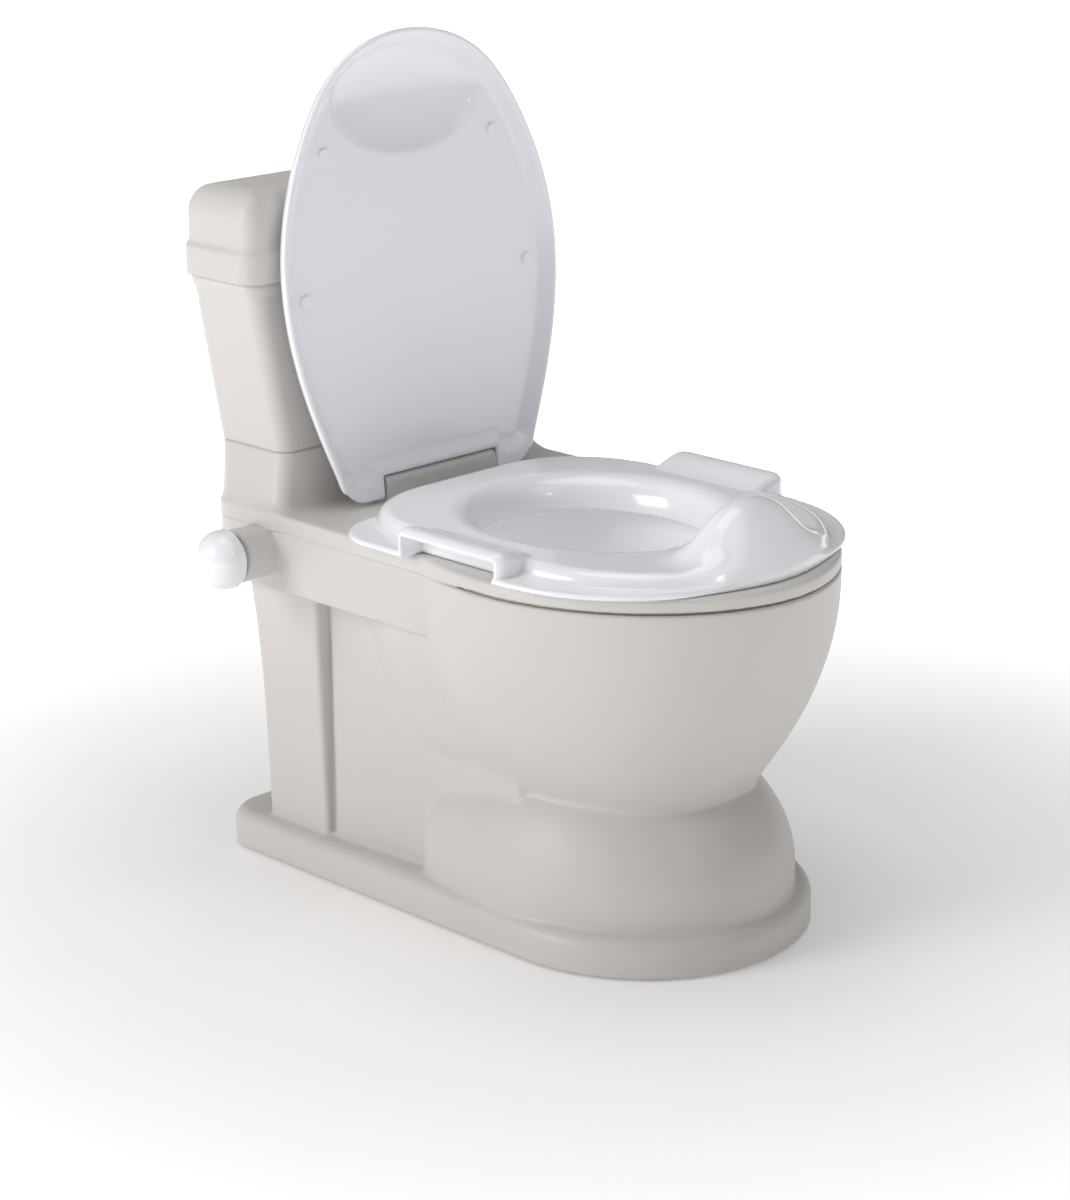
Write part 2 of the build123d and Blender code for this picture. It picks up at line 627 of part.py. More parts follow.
def make_tank_body():
    """Hollow tank with a bead under the lid and two screw posts in its floor."""
    outside = loft([tank_section(NECK_TOP, 0), tank_section(TANK_LID_BOTTOM, 0)])
    outside += raised(tank_section(TANK_LID_BOTTOM, 0), TANK_LIP)
    bead_low = TANK_LID_BOTTOM - MOVING_GAP - BEAD_HEIGHT
    bead = raised(tank_section(bead_low, -BEAD_STEP), BEAD_HEIGHT)
    inside = loft([tank_section(NECK_TOP + WALL, WALL), tank_section(TANK_LID_BOTTOM, WALL)])
    inside += raised(tank_section(TANK_LID_BOTTOM, WALL), 2 * TANK_LIP)
    tank = outside + fillet(bead.edges().group_by(Axis.Z)[0], BEAD_ROUND) - inside
    for side in (1, -1):
        x = side * TANK_SCREW_X
        post_top = NECK_TOP + TANK_SCREW_LENGTH
        tank += post(x, tank_screw_y(), NECK_TOP + WALL / 2, post_top, BOSS_POST_RADIUS)
        tank -= post(x, tank_screw_y(), NECK_TOP, post_top - WALL, SCREW_RADIUS)
    return tank


def make_tank_screws():
    """Screws from inside the neck into the tank's floor."""
    return [
        upward_screw(side * TANK_SCREW_X, tank_screw_y(), NECK_TOP - WALL, TANK_SCREW_LENGTH)
        for side in (1, -1)
    ]


def make_tank_lid():
    """Lift-off lid: a skirt band, a slightly smaller box above it and a rounded top."""
    skirt_top = TANK_LID_BOTTOM + LID_SKIRT
    skirt = raised(tank_section(TANK_LID_BOTTOM, -LID_OVERHANG), LID_SKIRT)
    skirt = fillet(skirt.edges().group_by(Axis.Z)[-1], LID_SKIRT_ROUND)
    upper_inset = LID_SKIRT_STEP - LID_OVERHANG
    upper_face = Pos(0, 0, -WALL) * (Pos(0, 0, LID_SKIRT) * tank_section(TANK_LID_BOTTOM, upper_inset))
    upper = raised(upper_face, TANK_TOP - skirt_top + WALL)
    upper = fillet(upper.edges().group_by(Axis.Z)[-1], TANK_LID_EDGE)
    inner_face = tank_section(TANK_LID_BOTTOM, upper_inset + WALL)
    inside = raised(inner_face, TANK_TOP - TANK_LID_BOTTOM - WALL)
    inside = fillet(inside.edges().group_by(Axis.Z)[-1], TANK_LID_EDGE - WALL)
    return skirt + upper - inside


# ---- Toilet lid -------------------------------------------------------------------------------
def lid_outline(inset, height):
    """Outline of the lid in its own frame: x across, y from the hinge axis to the tip."""
    side = [(half - inset, LID_LENGTH * share) for half, share in LID_PROFILE]
    side[0] = (side[0][0], inset)
    points = [(x, y, height) for x, y in side] + [(0, LID_LENGTH - inset, height)]
    points += [(-x, y, height) for x, y in reversed(side)]
    edge = Spline(*points)
    face = make_face(edge + Line(points[-1], points[0]))
    corners = face.vertices().sort_by(Axis.Y)[:2]
    return fillet(corners, LID_CORNER - inset / 2)


def make_toilet_lid():
    """Dished lid with a curved border, a bulge over the splash guard and two hinge ears."""
    back = LID_RIM - LID_THICKNESS
    lid = raised(lid_outline(0, back), LID_THICKNESS)
    lid = fillet(lid.edges().group_by(Axis.Z)[0], LID_BACK_EDGE)
    floor = back + LID_PANEL
    behind = block((-LID_LENGTH, LID_LENGTH), (0, LID_LENGTH), (back - LID_LENGTH, floor))
    lid += ellipsoid((0, DOME_CENTRE, floor), DOME_SIZE) & behind
    lid -= loft([lid_outline(RIM_WIDTH + DISH_SLOPE, floor), lid_outline(RIM_WIDTH, LID_RIM)])
    hollow = [size - LID_PANEL for size in DOME_SIZE]
    lid -= ellipsoid((0, DOME_CENTRE, floor), hollow)
    slot = BARREL_RADIUS + BARREL_GAP
    inner = BARREL_HALF_LENGTH + EAR_GAP
    lid -= block((-inner, inner), (-LID_THICKNESS, slot), (-2 * LID_THICKNESS, 2 * LID_THICKNESS))
    for side in (1, -1):
        ends = sorted((side * inner, side * EAR_OUTER))
        ear_space = block(ends, (-LID_THICKNESS, LID_THICKNESS), (back, LID_RIM))
        ear = bar(*ends, 0, 0, EAR_RADIUS) & ear_space
        pad = block(ends, (0, RIM_WIDTH + DISH_SLOPE), (back, LID_RIM - EAR_STEP))
        lid += ear + pad
        pin_end = BARREL_HALF_LENGTH - PIN_IN_BARREL + PIN_LENGTH
        bore = sorted((side * inner, side * (pin_end + EAR_GAP)))
        lid -= bar(*bore, 0, 0, PIN_RADIUS + PIN_CLEARANCE)
    return LID_FRAME * (lid - bumper_posts())


def bumper_posts():
    """The pads in the lid's own frame, half sunk into its panel."""
    face = LID_RIM - LID_THICKNESS + LID_PANEL
    low = face - LID_PANEL / 2
    return [post(x, y, low, face + BUMPER_HEIGHT, BUMPER_RADIUS) for x, y in mirrored(BUMPER_PLACES)]


def make_lid_bumpers():
    """Round pads on the lid's panel."""
    return [LID_FRAME * pad for pad in bumper_posts()]


# ---- Topper and pot ---------------------------------------------------------------------------
def throat_steps():
    """Heights between the ends of the throat, with their shares of the flare."""
    return [(SEAT_HEIGHT + rise, share) for rise, share in THROAT_WIDENING]


def throat(growth, low, high):
    """The flared hole of the topper, every section grown outwards."""
    sections = []
    for z, share in ((low, 0), *throat_steps(), (high, 1)):
        wider = growth + share * THROAT_FLARE
        half_length = THROAT_HALF_LENGTH + wider
        ends = (THROAT_MIDDLE - half_length, THROAT_MIDDLE + half_length)
        sections.append(oval(THROAT_HALF_WIDTH + wider, *ends, THROAT_MIDDLE, z))
    return loft(sections)


def topper_outline(inset, z):
    """Outline of the ring."""
    return nosed(
        TOPPER_HALF_WIDTH - inset,
        TOPPER_FRONT + inset,
        TOPPER_REAR - inset,
        TOPPER_NOSE,
        TOPPER_CORNER - inset,
        z,
    )


def make_seat_topper():
    """Ring with a flared throat, a flange on the deck, a splash guard and two handles."""
    ring = raised(topper_outline(0, TOPPER_BOTTOM), TOPPER_CROWN - TOPPER_BOTTOM)
    ring = fillet(ring.edges().group_by(Axis.Z)[-1], TOPPER_EDGE)
    flange = nosed(
        FLANGE_HALF_WIDTH, FLANGE_FRONT, FLANGE_REAR, FLANGE_NOSE, FLANGE_CORNER, TOPPER_BOTTOM
    )
    topper = ring + raised(flange, FLANGE_THICKNESS) + ellipsoid(GUARD_CENTRE, GUARD_SIZE)
    plan = ((-BODY_REAR, BODY_REAR), (2 * BOWL_FRONT, BODY_REAR))
    topper -= block(*plan, (0, TOPPER_BOTTOM))
    hollow_height = TOPPER_CROWN - TOPPER_WALL - TOPPER_BOTTOM
    hollow = raised(topper_outline(TOPPER_WALL, TOPPER_BOTTOM), hollow_height)
    hollow = fillet(hollow.edges().group_by(Axis.Z)[-1], TOPPER_EDGE - TOPPER_WALL)
    hollow += ellipsoid(GUARD_CENTRE, [size - TOPPER_WALL for size in GUARD_SIZE])
    tube = throat(TOPPER_WALL, THROAT_BOTTOM, TOPPER_CROWN)
    topper -= hollow - tube
    topper += tube & block(*plan, (THROAT_BOTTOM, TOPPER_CROWN - TOPPER_WALL))
    topper -= throat(0, THROAT_BOTTOM, TOPPER_CROWN)
    for side in (1, -1):
        topper = handle_added(topper, side)
    return topper


def handle_added(topper, side):
    """Cut the finger gap on one side and bridge it with a raised handle."""
    gap_start = TOPPER_HALF_WIDTH + FINGER_GAP_START
    far = sorted((side * gap_start, side * (FLANGE_HALF_WIDTH + WALL)))
    outer = sorted((side * (TOPPER_HALF_WIDTH - TOPPER_WALL), side * HANDLE_OUTER))
    wide = sorted((side * HANDLE_INNER, side * HANDLE_OUTER))
    front = HANDLE_REAR - HANDLE_LENGTH
    under = HANDLE_TOP - TOPPER_WALL
    gap = block(far, grown((front, HANDLE_REAR), -TOPPER_WALL), (TOPPER_BOTTOM, HANDLE_TOP))
    roof = block(wide, (front, HANDLE_REAR), (under, HANDLE_TOP))
    roof = fillet(roof.edges().filter_by(Axis.Z), TOPPER_WALL / 2)
    topper = topper - gap + roof
    back = sorted((side * HANDLE_INNER, side * (HANDLE_INNER + TOPPER_WALL)))
    topper += block(back, (front, HANDLE_REAR), (TOPPER_CROWN - TOPPER_WALL, HANDLE_TOP))
    for end in (front, HANDLE_REAR - TOPPER_WALL):
        topper += block(outer, (end, end + TOPPER_WALL), (TOPPER_BOTTOM, HANDLE_TOP))
    return topper


def make_potty_pot():
    """Removable pot: an oval bucket with a flat rim that hangs in the deck's opening."""
    rim = pot_section(TOPPER_BOTTOM, POT_HALF_WIDTH + POT_RIM, POT_HALF_LENGTH + POT_RIM)
    pot = pot_bucket(0, POT_BOTTOM) + raised(rim, POT_TOP - TOPPER_BOTTOM)
    return pot - pot_bucket(POT_WALL, POT_BOTTOM + POT_WALL)


def pot_section(z, half_width, half_length):
    """Oval about the middle of the throat."""
    ends = (THROAT_MIDDLE - half_length, THROAT_MIDDLE + half_length)
    return oval(half_width, *ends, THROAT_MIDDLE, z)


def pot_bucket(inset, low):
    """Tapering bucket with a bevelled floor, moved inwards by inset."""
    half_width = POT_HALF_WIDTH - inset
    half_length = POT_HALF_LENGTH - inset
    floor = POT_TAPER + POT_SOFT_EDGE
    sections = [
        pot_section(low, half_width - floor, half_length - floor),
        pot_section(low + POT_SOFT_EDGE, half_width - POT_TAPER, half_length - POT_TAPER),
        pot_section(POT_TOP, half_width, half_length),
    ]
    return loft(sections)


# ---- Flush knob and sound unit ----------------------------------------------------------------
def make_flush_knob():
    """Domed knob with a skirt inside the boss and a stem through the body's wall."""
    dome_middle = KNOB_BACK - KNOB_BAND
    arc = EllipticalCenterArc((0, 0), KNOB_DOME, KNOB_RADIUS, start_angle=90, arc_size=90)
    profile = make_face(arc + Polyline(arc @ 1, (0, 0), arc @ 0))
    dome = Pos(dome_middle, KNOB_Y, KNOB_Z) * revolve(profile, Axis.X)
    dome += bar(dome_middle, KNOB_BACK, KNOB_Y, KNOB_Z, KNOB_RADIUS)
    skirt_radius = BOSS_RADIUS - BOSS_WALL - KNOB_SKIRT_GAP
    skirt = bar(KNOB_BACK, BOSS_END + BOSS_WALL, KNOB_Y, KNOB_Z, skirt_radius)
    skirt -= bar(KNOB_BACK, BOSS_END + BOSS_WALL, KNOB_Y, KNOB_Z, skirt_radius - BOSS_WALL / 2)
    stem = bar(KNOB_BACK, STEM_END, KNOB_Y, KNOB_Z, STEM_RADIUS)
    return dome + skirt + stem - clip_ring(STEM_RADIUS)


def clip_span():
    """X range of the stem's clip, just inside the body's wall."""
    start = WALL_X + WALL + MOVING_GAP
    return start, start + CLIP_THICKNESS


def clip_ring(radius):
    """Ring round the bottom of the stem's groove."""
    whole = bar(*clip_span(), KNOB_Y, KNOB_Z, radius)
    return whole - bar(*clip_span(), KNOB_Y, KNOB_Z, STEM_RADIUS - GROOVE_DEPTH)


def make_stem_clip():
    """Open ring in the stem's groove."""
    mouth_y = grown((KNOB_Y, KNOB_Y), CLIP_MOUTH / 2)
    return clip_ring(CLIP_RADIUS) - block(clip_span(), mouth_y, (KNOB_Z, KNOB_Z + CLIP_RADIUS))


def make_flush_spring():
    """Coil spring between the body's wall and the knob's head."""
    length = WALL_X - KNOB_BACK - 2 * SPRING_WIRE
    helix = Helix(pitch=length / SPRING_TURNS, height=length, radius=SPRING_RADIUS)
    profile = Plane(helix @ 0, z_dir=helix % 0) * Circle(SPRING_WIRE)
    coil = sweep(profile, path=helix, is_frenet=True)
    return Pos(WALL_X - SPRING_WIRE, KNOB_Y, KNOB_Z) * Rot(0, -90, 0) * coil


def make_sound_case():
    """Open tray behind the knob that carries board and speaker."""
    x_span = (CASE_X - CASE_SIZE[0] / 2, CASE_X + CASE_SIZE[0] / 2)
    y_span = (KNOB_Y - CASE_SIZE[1] / 2, KNOB_Y + CASE_SIZE[1] / 2)
    z_span = (KNOB_Z - CASE_SIZE[2] / 2, KNOB_Z + CASE_SIZE[2] / 2)
    case = block(x_span, y_span, z_span)
    arm_z = (z_span[0], z_span[0] + CASE_WALL)
    for y in y_span:
        case += block((WALL_X + WALL, x_span[1]), grown((y, y), CASE_ARM), arm_z)
    inside_x = (x_span[0], x_span[1] - CASE_WALL)
    return case - block(inside_x, grown(y_span, -CASE_WALL), grown(z_span, -CASE_WALL))


def make_circuit_board():
    """Board with two chips, across the case."""
    width, height = (size - 2 * CASE_WALL - FIT_GAP for size in CASE_SIZE[1:])
    board = Pos(BOARD_X, KNOB_Y, KNOB_Z) * Box(BOARD_THICKNESS, width, height)
    face = BOARD_X - BOARD_THICKNESS / 2
    for y in (KNOB_Y - CHIP_PLACE, KNOB_Y + CHIP_PLACE):
        chip_z = grown((KNOB_Z, KNOB_Z), CHIP_HALF_SIZE)
        board += block((face - CHIP_HEIGHT, face), grown((y, y), CHIP_HALF_SIZE), chip_z)
    return board


def make_flush_switch():
    """Tact switch on the board, in line with the stem."""
    face = BOARD_X - BOARD_THICKNESS / 2
    half = SWITCH_SIZE / 2
    tip = STEM_END + KNOB_TRAVEL + MOVING_GAP
    top = face - SWITCH_HEIGHT
    base = block((top, face), (KNOB_Y - half, KNOB_Y + half), (KNOB_Z - half, KNOB_Z + half))
    return base + bar(tip, top, KNOB_Y, KNOB_Z, SWITCH_SIZE / 4)


def make_speaker_driver():
    """Small loudspeaker: a dished frame with its magnet."""
    back = CASE_X + CASE_SIZE[0] / 2 - CASE_WALL
    front = back - SPEAKER_FLANGE
    frame = bar(front, back, KNOB_Y, KNOB_Z, SPEAKER_RADIUS)
    frame -= bar((front + back) / 2, back, KNOB_Y, KNOB_Z, SPEAKER_RADIUS - SPEAKER_FLANGE)
    return frame + bar(back - SPEAKER_DEPTH, front, KNOB_Y, KNOB_Z, SPEAKER_RADIUS / 2)


NODES = {
    "lower_body": make_lower_body,
    "base_cover": make_base_cover,
    "base_screws": make_base_screws,
    "floor_pads": make_floor_pads,
    "battery_tray": make_battery_tray,
    "battery_cells": make_battery_cells,
    "battery_contacts": make_battery_contacts,
    "battery_door": make_battery_door,
    "door_screw": make_door_screw,
    "seat_deck": make_seat_deck,
    "deck_screws": make_deck_screws,
    "hinge_pins": make_hinge_pins,
    "tank_body": make_tank_body,
    "tank_screws": make_tank_screws,
    "tank_lid": make_tank_lid,
    "toilet_lid": make_toilet_lid,
    "lid_bumpers": make_lid_bumpers,
    "seat_topper": make_seat_topper,
    "potty_pot": make_potty_pot,
    "flush_knob": make_flush_knob,
    "stem_clip": make_stem_clip,
    "flush_spring": make_flush_spring,
    "sound_case": make_sound_case,
    "circuit_board": make_circuit_board,
    "flush_switch": make_flush_switch,
    "speaker_driver": make_speaker_driver,
}

os.makedirs("parts", exist_ok=True)
for name, make in NODES.items():
    made = make()
    shape = Compound(children=made) if isinstance(made, list) else made
    export_step(shape, f"parts/{name}.step")
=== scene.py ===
"""Looks of the potty training chair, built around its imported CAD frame.

The visible mouldings are modelled as distance fields in millimetres and skinned with quads, so that
bowl, foot, ledge and topper run into each other with soft moulded fillets. Front is -Y, up is +Z.
"""

import math

import bpy
import numpy as np
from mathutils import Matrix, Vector


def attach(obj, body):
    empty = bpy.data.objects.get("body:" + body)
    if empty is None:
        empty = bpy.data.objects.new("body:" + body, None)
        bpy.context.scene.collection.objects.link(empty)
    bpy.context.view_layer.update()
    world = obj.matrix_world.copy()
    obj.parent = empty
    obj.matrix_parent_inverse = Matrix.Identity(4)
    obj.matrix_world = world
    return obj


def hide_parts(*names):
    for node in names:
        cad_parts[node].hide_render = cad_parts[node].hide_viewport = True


MM = 0.001

# ---- Body, in millimetres ---------------------------------------------------------------------
WALL = 3.0
PLINTH = dict(half_width=96.5, front=-179.0, rear=175.5, nose=96.3, corner=25.0)
PLINTH_LOW, PLINTH_TOP, PLINTH_EDGE = 1.5, 23.0, 8.0
BODY_TOP = 212.2
DECK_LOW, DECK_TOP = 213.8, 221.4
BODY_REAR = 164.0
BOWL_TOP, WAIST = 213.0, 86.0
LEDGE = dict(half_width=107.2, front=-30.0, rear=BODY_REAR, nose=20.0, corner=20.0)
LEDGE_LOW = 176.0
COLUMN_FRONT, COLUMN_REAR, COLUMN_CORNER = 89.0, 141.0, 3.0
PANEL_HALF_WIDTH, PANEL_NARROWING = 82.5, 6.0
FOOT_MIDDLE, FOOT_HALF_WIDTH, FOOT_NOSE, FOOT_TAIL = -60.0, 92.0, 112.0, 200.0
FOOT_WIDEST, FOOT_RISE, FOOT_REAR = 35.0, 78.5, 14.0
NECK_TOP, NECK_FRONT, NECK_HALF_WIDTH, NECK_CORNER = 254.0, 106.0, 97.5, 8.5
NECK_FOOT_HALF_WIDTH, NECK_FOOT_FRONT = 106.8, 100.0

# ---- Tank ---------------------------------------------------------------------------------------
TANK_REAR, TANK_CORNER, TANK_RIM, TANK_TOP = 164.5, 8.0, 353.3, 405.0
TANK_WIDENING, TANK_FRONT_SHIFT = 18.5, 3.0
BEAD_LOW, BEAD_STEP, TANK_LIP = 347.0, 1.2, 3.0
BAND_TOP, BAND_STEP, CAP_STEP, CAP_EDGE = 371.0, 3.6, 1.8, 17.0
THROAT_MIDDLE = -46.0
POT_HALF_WIDTH, POT_HALF_LENGTH = 80.0, 96.0
KNOB_Y, KNOB_Z, BOSS_RADIUS, BOSS_END = 117.0, 198.0, 15.5, -128.2
HINGE_Y, HINGE_Z, LID_LEAN = 82.0, 231.5, 5.5
BARREL_HALF_LENGTH, BARREL_RADIUS = 44.0, 4.5
BASE_POSTS = ((82, 125), (82, 25), (86, -62))
DECK_POSTS = ((94, 75), (94, 152))
POST_RADIUS = 5.5

# ---- Topper -----------------------------------------------------------------------------------
RING = dict(half_width=100.0, front=-182.0, rear=67.0, nose=98.0, corner=66.0)
FLANGE = dict(half_width=116.4, front=-177.7, rear=53.0, nose=92.0, corner=34.0)
RING_LOW, RING_CROWN, TOPPER_WALL = 221.7, 232.0, 2.8
THROAT_HALF_WIDTH, THROAT_HALF_LENGTH, THROAT_LOW = 62.0, 70.0, 213.0
GUARD_CENTRE, GUARD_SIZE = (0.0, -155.5, 226.0), (38.0, 21.0, 35.0)
HANDLE_TOP, HANDLE_OUTER, HANDLE_INNER = 238.0, 118.0, 86.0
HANDLE_FRONT, HANDLE_REAR = -85.0, -5.0

# ---- Lid, in its own frame: u across, v from the hinge to the tip, w towards the front ----------
LID_LENGTH, LID_FACE, LID_BACK, LID_PANEL = 255.5, 4.0, -6.0, 3.0
LID_SIDE = ((76.0, 0.0), (101.8, 0.28), (106.8, 0.54), (85.4, 0.79), (57.0, 0.93))
DOME_CENTRE, DOME_SIZE, DOME_SPARE = 217.0, (58.0, 32.0, 13.0), 1.8
LOBE_HALF_WIDTH, LOBE_LOW, LOBE_CORNER, SLOT_TOP = 76.5, -8.5, 17.0, 4.5

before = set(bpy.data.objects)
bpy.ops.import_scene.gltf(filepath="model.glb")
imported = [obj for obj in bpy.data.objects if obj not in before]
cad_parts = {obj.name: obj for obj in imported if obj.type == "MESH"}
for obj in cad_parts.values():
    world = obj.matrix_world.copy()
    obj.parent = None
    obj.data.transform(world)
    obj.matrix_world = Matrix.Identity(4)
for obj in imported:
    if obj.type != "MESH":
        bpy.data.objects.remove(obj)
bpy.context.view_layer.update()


# ---- Distance fields --------------------------------------------------------------------------
def blend_min(a, b, reach):
    """Union of two fields with a fillet of about that reach."""
    share = np.clip(0.5 + 0.5 * (b - a) / reach, 0, 1)
    return b + (a - b) * share - reach * share * (1 - share)


def blend_max(a, b, reach):
    """Intersection of two fields with a soft edge."""
    return -blend_min(-a, -b, reach)


def plan(x, y, half_width, front, rear, nose, corner):
    """Distance in plan from a rounded rectangle with one corner radius in front and one behind."""
    middle = (front + rear) / 2
    radius = np.where(y < middle, nose, corner)
    across = np.abs(x) - half_width + radius
    along = np.abs(y - middle) - (rear - front) / 2 + radius
    outside = np.hypot(np.maximum(across, 0), np.maximum(along, 0))
    return np.minimum(np.maximum(across, along), 0) + outside - radius


def upright(flat, z, low, high, edge):
    """A plan distance between two heights, its edges rounded."""
    level = np.abs(z - (low + high) / 2) - (high - low) / 2 + edge
    side = flat + edge
    outside = np.hypot(np.maximum(side, 0), np.maximum(level, 0))
    return np.minimum(np.maximum(side, level), 0) + outside - edge


def oval(x, y, half_width, half_length, power=2.0):
    """Distance in plan from a superellipse about the origin."""
    a = np.abs(x) / half_width + 1e-6
    b = np.abs(y) / half_length + 1e-6
    reach = (a**power + b**power) ** (1 / power)
    slope = np.hypot(a ** (power - 1) / half_width, b ** (power - 1) / half_length)
    return (reach - 1) * reach ** (power - 1) / slope


def ellipsoid(x, y, z, centre, size):
    """Distance from an ellipsoid."""
    a, b, c = ((v - m) / s for v, m, s in zip((x, y, z), centre, size))
    reach = np.sqrt(a * a + b * b + c * c) + 1e-6
    slope = np.sqrt((a / size[0]) ** 2 + (b / size[1]) ** 2 + (c / size[2]) ** 2) / reach + 1e-6
    return (reach - 1) / slope


def rod(x, y, z, x_middle, x_half, at, radius, edge=0.3):
    """Cylinder along X."""
    return upright(np.hypot(y - at[0], z - at[1]) - radius, x, x_middle - x_half, x_middle + x_half, edge)


def post(x, y, z, at, low, high, radius):
    """Upright cylinder, and its mirror image in x = 0."""
    return upright(np.hypot(np.abs(x) - at[0], y - at[1]) - radius, z, low, high, 0.3)


# ---- Skin -------------------------------------------------------------------------------------
def skin(field, low, high, step):
    """Quads on the zero surface of a field: one vertex in each cell that the surface crosses."""
    low, high = np.array(low, float), np.array(high, float)
    count = np.ceil((high - low) / step).astype(int) + 1
    axes = [low[k] + step * np.arange(count[k]) for k in range(3)]
    values = np.broadcast_to(field(*np.meshgrid(*axes, indexing="ij", sparse=True)), count)
    values = values.astype(np.float32)
    cells = count - 1
    places, rings, flips = [], [], []
    for axis in range(3):
        near = [slice(None)] * 3
        far = [slice(None)] * 3
        near[axis], far[axis] = slice(0, -1), slice(1, None)
        before, after = values[tuple(near)], values[tuple(far)]
        index = np.argwhere((before < 0) != (after < 0))
        b, c = (axis + 1) % 3, (axis + 2) % 3
        keep = (index[:, b] > 0) & (index[:, c] > 0) & (index[:, b] < cells[b]) & (index[:, c] < cells[c])
        index = index[keep]
        first, second = before[tuple(index.T)], after[tuple(index.T)]
        place = index.astype(float)
        place[:, axis] += first / (first - second)
        ring = []
        for back_b, back_c in ((0, 0), (1, 0), (1, 1), (0, 1)):
            cell = index.copy()
            cell[:, b] -= back_b
            cell[:, c] -= back_c
            ring.append(np.ravel_multi_index(cell.T, cells))
        places.append(np.repeat(place[:, None], 4, 1).reshape(-1, 3))
        rings.append(np.stack(ring, 1))
        flips.append(first >= 0)
    ids, faces = np.unique(np.concatenate(rings), return_inverse=True)
    faces = faces.reshape(-1, 4)
    places = np.concatenate(places)
    total = np.bincount(faces.ravel(), minlength=len(ids))
    points = np.stack([np.bincount(faces.ravel(), places[:, k]) / total for k in range(3)], 1)
    points = low + step * points
    flips = np.concatenate(flips)
    faces[flips] = faces[flips][:, ::-1]
    for _ in range(3):
        points = settled(relaxed(points, faces), field, step)
    return points, faces


def relaxed(points, faces):
    """Each point moved half way to the middle of its neighbours."""
    total = np.zeros_like(points)
    number = np.bincount(faces.ravel(), minlength=len(points)) * 2
    for corner in range(4):
        beside = points[faces[:, (corner + 1) % 4]] + points[faces[:, corner - 1]]
        for k in range(3):
            total[:, k] += np.bincount(faces[:, corner], beside[:, k], minlength=len(points))
    return (points + total / number[:, None]) / 2


def settled(points, field, step):
    """Points pulled back onto the zero surface."""
    reach = 0.25
    for _ in range(2):
        value = field(*points.T)
        slope = np.stack(
            [
                (field(*(points + offset).T) - field(*(points - offset).T)) / (2 * reach)
                for offset in reach * np.eye(3)
            ],
            1,
        )
        move = value / np.maximum((slope**2).sum(1), 0.2)
        points = points - np.clip(move, -step / 2, step / 2)[:, None] * slope
    return points


def piece(name, points, faces, body, material, slot, *nodes):
    """Mesh object from points in millimetres that stands for CAD nodes and rides on their body."""
    mesh = bpy.data.meshes.new(name)
    mesh.from_pydata((points * MM).tolist(), [], faces.tolist())
    mesh.shade_smooth()
    mesh.materials.append(material)
    made = bpy.data.objects.new(name, mesh)
    bpy.context.scene.collection.objects.link(made)
    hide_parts(*nodes)
    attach(made, body)
    return made


# ---- Lower body -------------------------------------------------------------------------------
def bowl(x, y, z):
    """Bowl: superellipse sections that shrink towards the waist."""
    fall = np.clip((BOWL_TOP - z) / (BOWL_TOP - WAIST), 0, 1.3)
    lean = np.sqrt(1 + (0.77 * fall**1.14) ** 2)
    half_width = 114.7 - 45.5 * fall**2.14
    front = -193.4 + 48.7 * fall**1.88
    middle = -68.0 + 33.4 * fall
    rear = 70.0 - 55.0 * fall
    half_length = np.where(y < middle, middle - front, rear - middle)
    power = np.where(y < middle, 1.9 + 0.54 * fall, 2.0)
    return oval(x, y - middle, half_width, half_length, power) / lean


def trapway(x, y, z):
    """Slanting rear of the bowl between the ledge and the foot."""
    drop = np.maximum((175.0 - z) / 82.0, 0)
    half_width = 101.0 - 22.5 * drop - 8.0 * np.clip((drop - 0.8) / 0.3, 0, 1) ** 2
    return blend_max(oval(x, y, half_width, 100.0), 79.0 - z, 6.0)


def foot(x, y, z):
    """Domed foot, upright near the plinth and cut off behind."""
    rise = np.maximum(z - FOOT_WIDEST, 0.5 * (z - FOOT_WIDEST))
    length = np.where(y < FOOT_MIDDLE, FOOT_NOSE, FOOT_TAIL)
    a, b, c = x / FOOT_HALF_WIDTH, (y - FOOT_MIDDLE) / length, rise / FOOT_RISE
    reach = np.sqrt(a * a + b * b + c * c) + 1e-6
    slope = np.sqrt((a / FOOT_HALF_WIDTH) ** 2 + (b / length) ** 2 + (c / FOOT_RISE) ** 2) / reach
    return blend_max((reach - 1) / (slope + 1e-6), y - FOOT_REAR, 14.0)


def body_mass(x, y, z):
    """Outer form of the lower body, without its open top and bottom."""
    plinth = upright(plan(x, y, **PLINTH), z, -40.0, PLINTH_TOP, PLINTH_EDGE)
    spread = 85.0 + 7.0 * (z - 20.0) / 159.0
    column_rear = COLUMN_REAR + 7.0 * np.clip((z - 90.0) / 86.0, 0, 1) ** 2
    rear_column = upright(
        plan(x, y, spread, COLUMN_FRONT, column_rear, COLUMN_CORNER, COLUMN_CORNER), z, 10, 184, 2
    )
    panel_side = PANEL_HALF_WIDTH - PANEL_NARROWING * np.clip((COLUMN_FRONT - y) / 84.0, 0, 1.5)
    panel = upright(plan(x, y, panel_side, -60, COLUMN_FRONT + 8, 6, 6), z, 10, 184, 2)
    gap = 0.5 + 2.2 * (170 - z) / 145
    groove = upright(
        np.maximum(np.abs(np.abs(x) - PANEL_HALF_WIDTH) - 2.5, np.abs(y - COLUMN_FRONT + 1) - gap),
        z,
        PLINTH_TOP + 2,
        168,
        0.2,
    )
    stand = blend_min(np.maximum(panel, -groove), rear_column, 0.8)
    stand = blend_min(stand, foot(x, y, z), 3.0)
    stand = blend_min(stand, plinth, 3.0)
    upper = blend_min(bowl(x, y, z), trapway(x, y, z), 3.0)
    upper = np.maximum(upper, 74.0 - z)
    ledge = upright(plan(x, y, **LEDGE), z, LEDGE_LOW, BODY_TOP + 30, 1.5)
    upper = blend_min(upper, ledge, 4.0)
    return blend_min(upper, stand, 0.8 + 2.2 * np.clip((75.0 - y) / 20.0, 0, 1))


